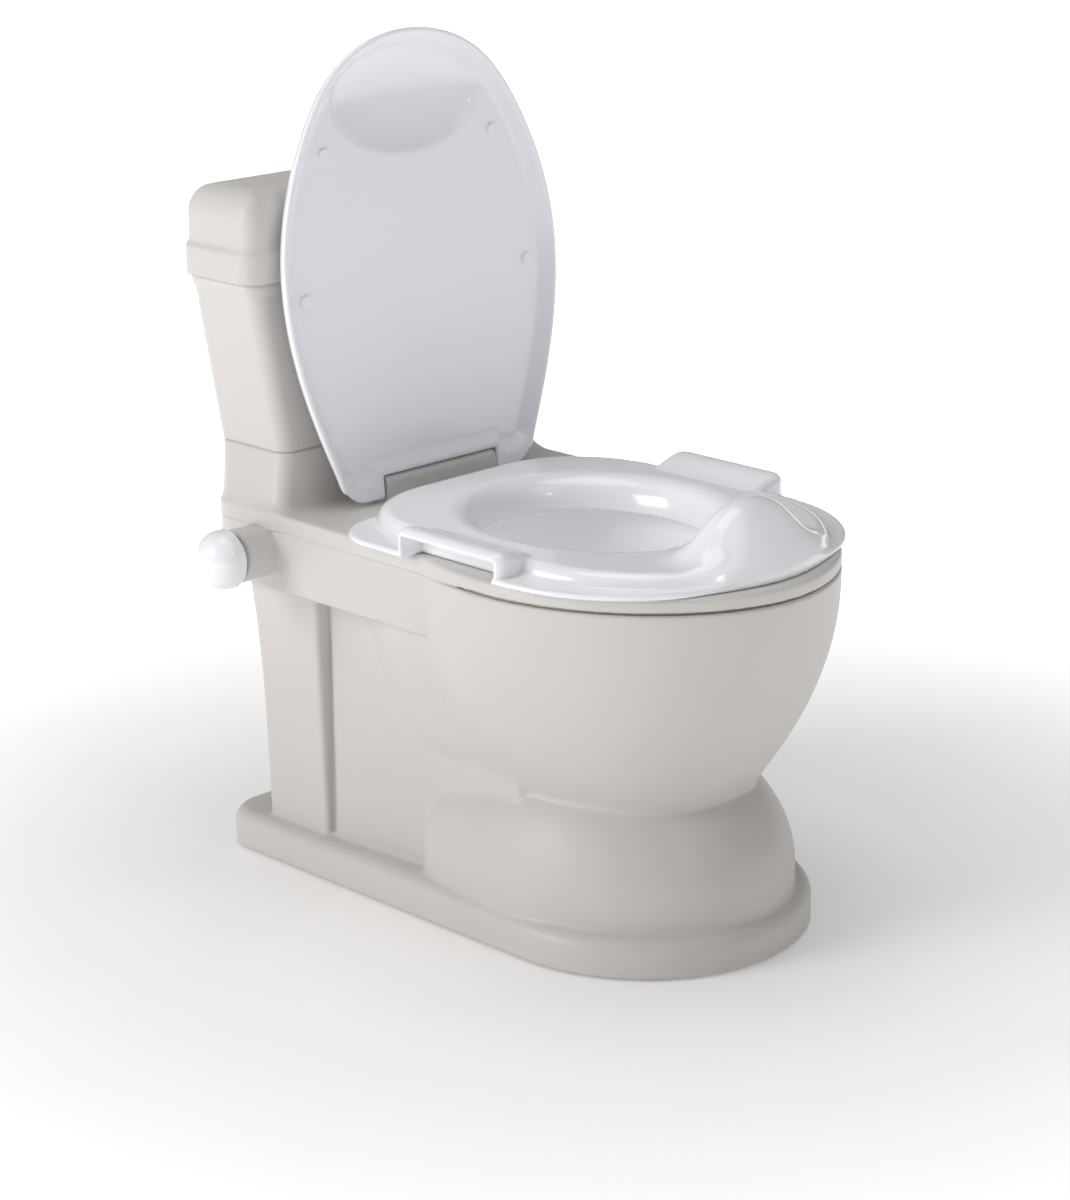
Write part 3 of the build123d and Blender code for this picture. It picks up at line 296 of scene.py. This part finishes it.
def lower_body(x, y, z):
    """Lower body as a hollow moulding, with its screw posts and the knob's boss."""
    mass = body_mass(x, y, z)
    boss = rod(x, y, z, BOSS_END / 2 - 45, -BOSS_END / 2 - 45, (KNOB_Y, KNOB_Z), BOSS_RADIUS, 1.2)
    mass = blend_min(mass, boss, 1.8)
    cavity = mass + WALL
    shell = np.maximum(np.maximum(mass, -cavity), np.maximum(z - BODY_TOP, PLINTH_LOW - z))
    well = rod(x, y, z, BOSS_END - 9, 30, (KNOB_Y, KNOB_Z), BOSS_RADIUS - WALL)
    shell = np.maximum(shell, -well)
    stem = rod(x, y, z, -100, 30, (KNOB_Y, KNOB_Z), 5.2)
    shell = np.maximum(shell, -stem)
    drip = upright(bowl(x, y, z) + WALL / 2, z, 92, 95, 0.5)
    shell = np.minimum(shell, drip)
    for at in BASE_POSTS:
        shell = np.minimum(shell, post(x, y, z, at, 4.6, PLINTH_TOP - 1.5, POST_RADIUS))
    for at in DECK_POSTS:
        shell = np.minimum(shell, post(x, y, z, at, 199.2, 202.2, 2 * POST_RADIUS - 1))
    return shell


# ---- Deck -------------------------------------------------------------------------------------
def deck_plan(x, y):
    """Plan of the deck: the bowl's rim run into the ledge behind it."""
    nose = bowl(x, y, np.array(BOWL_TOP))
    return blend_min(nose, plan(x, y, **LEDGE), 6.0)


def neck(x, y, z):
    """Neck that carries the tank."""
    share = np.clip((z - DECK_TOP) / (NECK_TOP - DECK_TOP), 0, 1)
    half_width = NECK_FOOT_HALF_WIDTH + (NECK_HALF_WIDTH - NECK_FOOT_HALF_WIDTH) * share**0.8
    front = NECK_FOOT_FRONT + (NECK_FRONT - NECK_FOOT_FRONT) * share**0.7
    corner = LEDGE["corner"] + (NECK_CORNER - LEDGE["corner"]) * share
    return plan(x, y, half_width, front, TANK_REAR - 1.0, NECK_CORNER, corner)


def seat_deck(x, y, z):
    """Deck, locating lip, hinge barrel and neck."""
    outline = deck_plan(x, y)
    behind = np.clip((y + 60.0) / 35.0, 0, 1)
    low = DECK_LOW - 2.6 * behind
    slab = upright(outline - 0.3 * behind, z, DECK_LOW - 7, DECK_TOP, 2.2)
    rise = np.maximum(neck(x, y, z), z - NECK_TOP)
    mass = blend_min(slab, rise, 7.0 * np.clip((130.0 - y) / 20.0, 0.1, 1))
    mass = np.maximum(mass, np.maximum(z - NECK_TOP, low - z))
    under = np.maximum(outline + WALL, z - DECK_TOP + WALL)
    hollow = np.maximum(neck(x, y, z) + WALL, z - NECK_TOP + WALL)
    inside = np.maximum(hollow, -z + DECK_TOP - WALL - 1)
    mass = np.maximum(mass, -np.minimum(under, inside))
    lip = np.abs(outline + WALL + 1.4) - 1.0
    mass = np.minimum(mass, upright(lip, z, 208.2, DECK_TOP - 1, 0.2))
    collar = np.abs(outline + 2.2) - 1.0
    mass = np.minimum(mass, upright(collar, z, DECK_LOW, DECK_LOW + 2, 0.2))
    opening = oval(x, y - THROAT_MIDDLE, POT_HALF_WIDTH + 0.8, POT_HALF_LENGTH + 0.8)
    mass = blend_max(mass, -opening, 1.0)
    for at in DECK_POSTS:
        mass = np.minimum(mass, post(x, y, z, at, 202.2, DECK_TOP - 1, POST_RADIUS))
    barrel = rod(x, y, z, 0, BARREL_HALF_LENGTH, (HINGE_Y, HINGE_Z), BARREL_RADIUS)
    web = np.maximum(
        np.maximum(np.abs(x) - BARREL_HALF_LENGTH, np.abs(y - HINGE_Y) - BARREL_RADIUS),
        np.maximum(z - HINGE_Z, DECK_TOP - 1 - z),
    )
    return np.minimum(mass, np.minimum(barrel, web))


# ---- Tank and its lid -------------------------------------------------------------------------
def tank_plan(x, y, z):
    """Section of the tank, which widens upwards to its rim."""
    share = np.clip((z - NECK_TOP) / (TANK_RIM - NECK_TOP), 0, 1)
    half_width = NECK_HALF_WIDTH - 0.5 + TANK_WIDENING * share
    front = NECK_FRONT + TANK_FRONT_SHIFT * share
    return plan(x, y, half_width, front, TANK_REAR, TANK_CORNER, TANK_CORNER)


def tank_body(x, y, z):
    """Hollow tank with a thin bead under its lid."""
    side = tank_plan(x, y, z)
    bead = upright(side - BEAD_STEP, z, BEAD_LOW, TANK_RIM - 0.3, 1.0)
    mass = blend_min(np.maximum(side, z - TANK_RIM - TANK_LIP), bead, 0.8)
    hollow = np.maximum(side + WALL, NECK_TOP + WALL - z)
    return np.maximum(np.maximum(mass, -hollow), NECK_TOP - z)


def tank_lid(x, y, z):
    """Lid with a skirt band that runs softly into the box above it."""
    side = tank_plan(x, y, np.array(TANK_RIM))
    band = upright(side - BAND_STEP, z, TANK_RIM - 20, BAND_TOP, 2.0)
    cap = upright(side - CAP_STEP, z, TANK_RIM - 20, TANK_TOP, CAP_EDGE)
    mass = blend_min(band, cap, 3.0)
    hollow = upright(side + 1.2, z, TANK_RIM - 20, TANK_TOP - WALL, CAP_EDGE - WALL)
    skirt = upright(side - 0.4, z, TANK_RIM - 20, TANK_RIM + TANK_LIP + 0.6, 0.3)
    return np.maximum(np.maximum(mass, -np.minimum(hollow, skirt)), TANK_RIM - z)


# ---- Topper -----------------------------------------------------------------------------------
def throat(x, y, z):
    """The hole of the topper, a little wider towards the crown. Negative in the hole."""
    wider = 4.0 * np.clip((z - THROAT_LOW) / (RING_CROWN - THROAT_LOW), 0, 1.5)
    return oval(x, y - THROAT_MIDDLE, THROAT_HALF_WIDTH + wider, THROAT_HALF_LENGTH + wider)


def topper_mass(x, y, z):
    """Ring, flange and splash guard before hollowing."""
    ring = upright(plan(x, y, **RING), z, RING_LOW - 30, RING_CROWN, 8.0)
    flange = upright(plan(x, y, **FLANGE), z, RING_LOW - 30, RING_LOW + TOPPER_WALL, 1.3)
    mass = blend_min(ring, flange, 3.0)
    guard = ellipsoid(x, y, z, GUARD_CENTRE, GUARD_SIZE)
    mass = blend_min(mass, guard, 22.0)
    return blend_max(mass, -throat(x, y, z), 15.0)


def handle(x, y, z):
    """Raised bridge over a finger gap, at both sides."""
    side = np.abs(x)
    half = (HANDLE_OUTER - HANDLE_INNER) / 2
    outer = plan(side - HANDLE_INNER - half, y, half, HANDLE_FRONT, HANDLE_REAR, 8, 8)
    ramp = np.clip((side - 85.0) / 27.0, 0, 1)
    top = RING_CROWN + (HANDLE_TOP - RING_CROWN) * ramp * ramp * (3 - 2 * ramp)
    solid = upright(outer, z - top, -28.0, 0.0, 5.0)
    flare = 2.5 * np.clip((226.0 - z) / 8.0, 0, 1)
    gap_side = np.maximum(101.0 - side, np.abs(y - (HANDLE_FRONT + HANDLE_REAR) / 2) - 35.5 + flare)
    gap = np.maximum(gap_side, z - top + TOPPER_WALL + 1.2)
    return blend_max(solid, -gap, 1.5), gap_side


def seat_topper(x, y, z):
    """Topper as a thin moulding, open below."""
    mass = topper_mass(x, y, z)
    bridge, gap = handle(x, y, z)
    open_gap = np.maximum(gap, np.maximum(z - HANDLE_TOP, 101.5 - np.abs(x)))
    skin_only = np.maximum(mass, -(mass + TOPPER_WALL))
    skin_only = np.maximum(skin_only, -open_gap)
    shell = blend_min(skin_only, np.maximum(bridge, -(mass + TOPPER_WALL)), 1.5)
    tube = throat(x, y, z)
    low = np.where(tube < TOPPER_WALL + 1.5, THROAT_LOW, RING_LOW)
    return np.maximum(shell, low - z)


# ---- Toilet lid -------------------------------------------------------------------------------
def lid_points():
    """Outline of the lid: a smooth curve through its half widths, mirrored."""
    side = np.array([(half, LID_LENGTH * share) for half, share in LID_SIDE] + [(0.0, LID_LENGTH)])
    whole = np.concatenate([side, side[-2::-1] * (-1, 1)])
    chord = np.concatenate([[0], np.cumsum(np.hypot(*np.diff(whole, axis=0).T))])
    curve = natural_spline(chord, whole, np.linspace(0, chord[-1], 140))
    curve[:, 1] = np.maximum(curve[:, 1], 0)
    return curve


def natural_spline(knots, values, at):
    """Cubic spline through values at knots, with free ends."""
    n = len(knots)
    gap = np.diff(knots)
    system = np.eye(n)
    right = np.zeros_like(values)
    for k in range(1, n - 1):
        system[k, k - 1 : k + 2] = gap[k - 1], 2 * (gap[k - 1] + gap[k]), gap[k]
        right[k] = 6 * ((values[k + 1] - values[k]) / gap[k] - (values[k] - values[k - 1]) / gap[k - 1])
    bend = np.linalg.solve(system, right)
    k = np.clip(np.searchsorted(knots, at) - 1, 0, n - 2)
    left, over = (knots[k + 1] - at)[:, None], (at - knots[k])[:, None]
    span = gap[k][:, None]
    return (
        (bend[k] * left**3 + bend[k + 1] * over**3) / (6 * span)
        + (values[k] / span - bend[k] * span / 6) * left
        + (values[k + 1] / span - bend[k + 1] * span / 6) * over
    )


LID_CURVE = lid_points()


def polygon(u, v, corners):
    """Signed distance in a plane from a closed polygon, negative inside."""
    nearest = np.full(np.broadcast(u, v).shape, 1e9)
    inside = np.zeros(nearest.shape, bool)
    for a, b in zip(corners, np.roll(corners, -1, 0)):
        along = b - a
        share = np.clip(((u - a[0]) * along[0] + (v - a[1]) * along[1]) / (along @ along + 1e-12), 0, 1)
        nearest = np.minimum(
            nearest, (u - a[0] - share * along[0]) ** 2 + (v - a[1] - share * along[1]) ** 2
        )
        if a[1] != b[1]:
            crossing = (a[1] > v) != (b[1] > v)
            inside ^= crossing & (u < a[0] + (v - a[1]) * along[0] / along[1])
    return np.where(inside, -1, 1) * np.sqrt(nearest)


def toilet_lid(u, v, w):
    """Dished lid with a curved border, the recess for the splash guard and two hinge lobes."""
    edge = polygon(u, v, LID_CURVE)
    lobes = plan(u, v, LOBE_HALF_WIDTH, LOBE_LOW, 60.0, LOBE_CORNER, 5.0)
    slot = np.maximum(np.abs(u) - BARREL_HALF_LENGTH - 1, v - SLOT_TOP)
    edge = blend_max(blend_min(edge, lobes, 4.0), -slot, 1.5)
    slope = np.clip((-edge - 2.0) / 9.0, 0, 1) * np.clip((v + 4.0) / 14.0, 0.25, 1)
    dish = (LID_FACE - LID_BACK - LID_PANEL) * slope * slope * (3 - 2 * slope)
    drafted = (edge + 0.55 * np.maximum(LID_FACE - 1.5 - w, 0)) / 1.12
    front = (w - (LID_FACE - dish)) * 0.75
    centre = (0.0, DOME_CENTRE, LID_BACK + LID_PANEL)
    hollow = ellipsoid(u, v, w, centre, [size - LID_PANEL for size in DOME_SIZE])
    air = blend_min(-front, hollow, 5.0)
    outer = [size + DOME_SPARE for size in DOME_SIZE]
    bulge = np.maximum(ellipsoid(u, v, w, centre, outer), w - centre[2])
    solid = blend_min(blend_max(drafted, LID_BACK - w, 4.5), bulge, 4.0)
    return blend_max(solid, -air, 2.5)


def in_lid_frame(points):
    """Points of the lid's own frame, in the row frame."""
    tilt = math.radians(90 - LID_LEAN)
    u, v, w = points.T
    y = HINGE_Y + v * math.cos(tilt) - w * math.sin(tilt)
    z = HINGE_Z + v * math.sin(tilt) + w * math.cos(tilt)
    return np.stack([u, y, z], 1)


# ---- Materials --------------------------------------------------------------------------------
def moulded(name, colour, rough, grain=0.15, mottle=0.02, metal=0.0, coat=0.0, scale=900.0):
    """Moulded plastic or metal: slightly uneven colour and gloss, and a fine surface grain."""
    material = bpy.data.materials.new(name)
    material.use_nodes = True
    nodes, links = material.node_tree.nodes, material.node_tree.links
    shader = nodes["Principled BSDF"]
    shader.inputs["Metallic"].default_value = metal
    shader.inputs["Coat Weight"].default_value = coat
    shader.inputs["Coat Roughness"].default_value = 0.08
    place = nodes.new("ShaderNodeTexCoord")
    cloud = nodes.new("ShaderNodeTexNoise")
    cloud.inputs["Scale"].default_value = 14.0
    cloud.inputs["Detail"].default_value = 4.0
    links.new(place.outputs["Object"], cloud.inputs["Vector"])
    tint = nodes.new("ShaderNodeValToRGB")
    for stop, gain in zip(tint.color_ramp.elements, (1 - mottle, 1 + mottle)):
        stop.color = (*[min(c * gain, 1.0) for c in colour], 1.0)
    tint.color_ramp.elements[0].position = 0.3
    tint.color_ramp.elements[1].position = 0.7
    links.new(cloud.outputs["Fac"], tint.inputs["Fac"])
    links.new(tint.outputs["Color"], shader.inputs["Base Color"])
    gloss = nodes.new("ShaderNodeMapRange")
    gloss.inputs["From Min"].default_value = 0.3
    gloss.inputs["From Max"].default_value = 0.7
    gloss.inputs["To Min"].default_value = rough * 0.88
    gloss.inputs["To Max"].default_value = rough * 1.12
    links.new(cloud.outputs["Fac"], gloss.inputs["Value"])
    links.new(gloss.outputs["Result"], shader.inputs["Roughness"])
    fine = nodes.new("ShaderNodeTexNoise")
    fine.inputs["Scale"].default_value = scale
    fine.inputs["Detail"].default_value = 2.0
    links.new(place.outputs["Object"], fine.inputs["Vector"])
    bump = nodes.new("ShaderNodeBump")
    bump.inputs["Strength"].default_value = grain
    bump.inputs["Distance"].default_value = 0.00008
    links.new(fine.outputs["Fac"], bump.inputs["Height"])
    links.new(bump.outputs["Normal"], shader.inputs["Normal"])
    return material


IVORY = (0.655, 0.63, 0.605)
POT_GLOW = 0.09  # stands for the light that comes through the pot's thin wall
WHITE = (0.93, 0.945, 0.975)
ivory = moulded("ivory_plastic", IVORY, 0.42, grain=0.3, mottle=0.012)
ivory_tank = moulded("ivory_plastic_tank", (0.635, 0.61, 0.585), 0.45, grain=0.3, mottle=0.012)
white = moulded("white_plastic", WHITE, 0.16, grain=0.04, mottle=0.008, coat=0.35)
white_lid = moulded("white_lid_plastic", (0.92, 0.935, 0.985), 0.2, grain=0.04, mottle=0.008, coat=0.3)
screw_metal = moulded("zinc_metal", (0.62, 0.62, 0.64), 0.34, metal=1.0, grain=0.3, mottle=0.05)
spring_metal = moulded("spring_steel", (0.55, 0.55, 0.56), 0.28, metal=1.0, grain=0.2, mottle=0.04)
contact_metal = moulded("contact_metal", (0.72, 0.66, 0.5), 0.3, metal=1.0, grain=0.2, mottle=0.04)
cell_metal = moulded("cell_jacket", (0.12, 0.14, 0.16), 0.35, grain=0.1, mottle=0.08)
rubber = moulded("grey_rubber", (0.10, 0.10, 0.105), 0.75, grain=0.6, mottle=0.1, scale=1600)
pot_white = moulded("pot_plastic", (0.95, 0.955, 0.97), 0.2, grain=0.04, mottle=0.006, coat=0.3)
glow = pot_white.node_tree.nodes["Principled BSDF"]
glow.inputs["Emission Color"].default_value = (0.93, 0.95, 1.0, 1)
glow.inputs["Emission Strength"].default_value = POT_GLOW
inner = moulded("inner_plastic", (0.62, 0.60, 0.57), 0.5, grain=0.3, mottle=0.04)
board = moulded("board_green", (0.03, 0.19, 0.08), 0.4, grain=0.4, mottle=0.2)
dark = moulded("black_plastic", (0.03, 0.03, 0.032), 0.45, grain=0.4, mottle=0.15)

FINISH = {
    "base_cover": ivory,
    "base_screws": screw_metal,
    "floor_pads": rubber,
    "battery_tray": inner,
    "battery_cells": cell_metal,
    "battery_contacts": contact_metal,
    "battery_door": ivory,
    "door_screw": screw_metal,
    "deck_screws": screw_metal,
    "hinge_pins": spring_metal,
    "tank_screws": screw_metal,
    "lid_bumpers": white_lid,
    "potty_pot": pot_white,
    "flush_knob": white,
    "stem_clip": spring_metal,
    "flush_spring": spring_metal,
    "sound_case": inner,
    "circuit_board": board,
    "flush_switch": dark,
    "speaker_driver": dark,
}
for node, finish in FINISH.items():
    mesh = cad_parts[node].data
    mesh.materials.clear()
    mesh.materials.append(finish)

# ---- Pieces -----------------------------------------------------------------------------------
coarse = 1.0
made = skin(lower_body, (-134, -198, -3), (113, 180, 216), 1.6 * coarse)
piece("lower_body_shell", *made, "base", ivory, "body_ivory", "lower_body")
made = skin(seat_deck, (-120, -198, 204), (120, 177, 258), 1.3 * coarse)
piece("seat_deck_shell", *made, "base", ivory, "deck_ivory", "seat_deck")
made = skin(tank_body, (-122, 100, 250), (122, 170, 360), 1.5 * coarse)
piece("tank_shell", *made, "base", ivory_tank, "tank_ivory", "tank_body")
made = skin(tank_lid, (-124, 100, 350), (124, 172, 408), 1.3 * coarse)
piece("tank_lid_shell", *made, "tank_cover", ivory_tank, "tank_lid_ivory", "tank_lid")
made = skin(seat_topper, (-123, -188, 209), (123, 75, 266), 1.2 * coarse)
piece("topper_shell", *made, "topper", white, "topper_white", "seat_topper")
points, faces = skin(toilet_lid, (-110, -9, -24), (110, 258, 9), 1.2 * coarse)
piece("toilet_lid_shell", in_lid_frame(points), faces, "lid", white_lid, "lid_white", "toilet_lid")


# ---- Floor, light and camera ------------------------------------------------------------------
FLOOR_FADE = (0.12, 0.95, 0.2, 1.0)  # radii in metres and the glow at each


def studio_floor():
    """Pale round floor that fades to plain white away from the object."""
    material = moulded("floor_paper", (0.80, 0.785, 0.78), 0.7, grain=0.0, mottle=0.004)
    nodes, links = material.node_tree.nodes, material.node_tree.links
    place = nodes.new("ShaderNodeTexCoord")
    reach = nodes.new("ShaderNodeVectorMath")
    reach.operation = "LENGTH"
    fade = nodes.new("ShaderNodeMapRange")
    fade.interpolation_type = "SMOOTHSTEP"
    for name, value in zip(("From Min", "From Max", "To Min", "To Max"), FLOOR_FADE):
        fade.inputs[name].default_value = value
    links.new(place.outputs["Object"], reach.inputs[0])
    links.new(reach.outputs["Value"], fade.inputs["Value"])
    shader = nodes["Principled BSDF"]
    shader.inputs["Emission Color"].default_value = (1, 1, 1, 1)
    links.new(fade.outputs["Result"], shader.inputs["Emission Strength"])
    points = [Vector((math.cos(k * math.pi / 32), math.sin(k * math.pi / 32), 0)) * 9 for k in range(64)]
    mesh = bpy.data.meshes.new("studio_floor")
    mesh.from_pydata(points, [], [list(range(64))])
    mesh.materials.append(material)
    made = bpy.data.objects.new("studio_floor", mesh)
    bpy.context.scene.collection.objects.link(made)
    return made


def soft_light(name, place, aim, size, watts, colour=(1, 1, 1)):
    """Square area light at a place, turned to a point."""
    data = bpy.data.lights.new(name, "AREA")
    data.shape = "SQUARE"
    data.size = size
    data.energy = watts
    data.color = colour
    made = bpy.data.objects.new(name, data)
    made.location = place
    made.rotation_euler = (Vector(aim) - Vector(place)).to_track_quat("-Z", "Y").to_euler()
    bpy.context.scene.collection.objects.link(made)
    return made


studio_floor()
centre = (0, 0, 0.2)
soft_light("key", (-2.3, 0.9, 1.3), centre, 1.3, 31, (1.0, 0.99, 0.98))
soft_light("front", (0.1, -1.7, 2.5), centre, 1.2, 4.5, (0.97, 0.985, 1.0))
soft_light("spark", (-0.3, -1.9, 1.5), centre, 0.22, 1.5)
soft_light("top", (0.0, 0.1, 2.6), centre, 1.6, 17)

scene = bpy.context.scene
world = bpy.data.worlds.new("studio")
world.use_nodes = True
world.node_tree.nodes["Background"].inputs["Color"].default_value = (1.0, 1.0, 1.0, 1)
world.node_tree.nodes["Background"].inputs["Strength"].default_value = 0.22
scene.world = world
scene.view_settings.view_transform = "Standard"

AZIMUTH, ELEVATION, DISTANCE = math.radians(-45.67), math.radians(17.55), 1.7779
TARGET = Vector((0, 0.0025, 0.1686))
back = Vector(
    (
        math.sin(AZIMUTH) * math.cos(ELEVATION),
        -math.cos(AZIMUTH) * math.cos(ELEVATION),
        math.sin(ELEVATION),
    )
)
lens = bpy.data.cameras.new("camera")
lens.sensor_width = 36.0
lens.lens = 92.85
lens.clip_start, lens.clip_end = 0.1, 20.0
camera = bpy.data.objects.new("camera", lens)
camera.location = TARGET + back * DISTANCE
camera.rotation_mode = "QUATERNION"
camera.rotation_quaternion = (-back).to_track_quat("-Z", "Y")
scene.collection.objects.link(camera)
scene.camera = camera
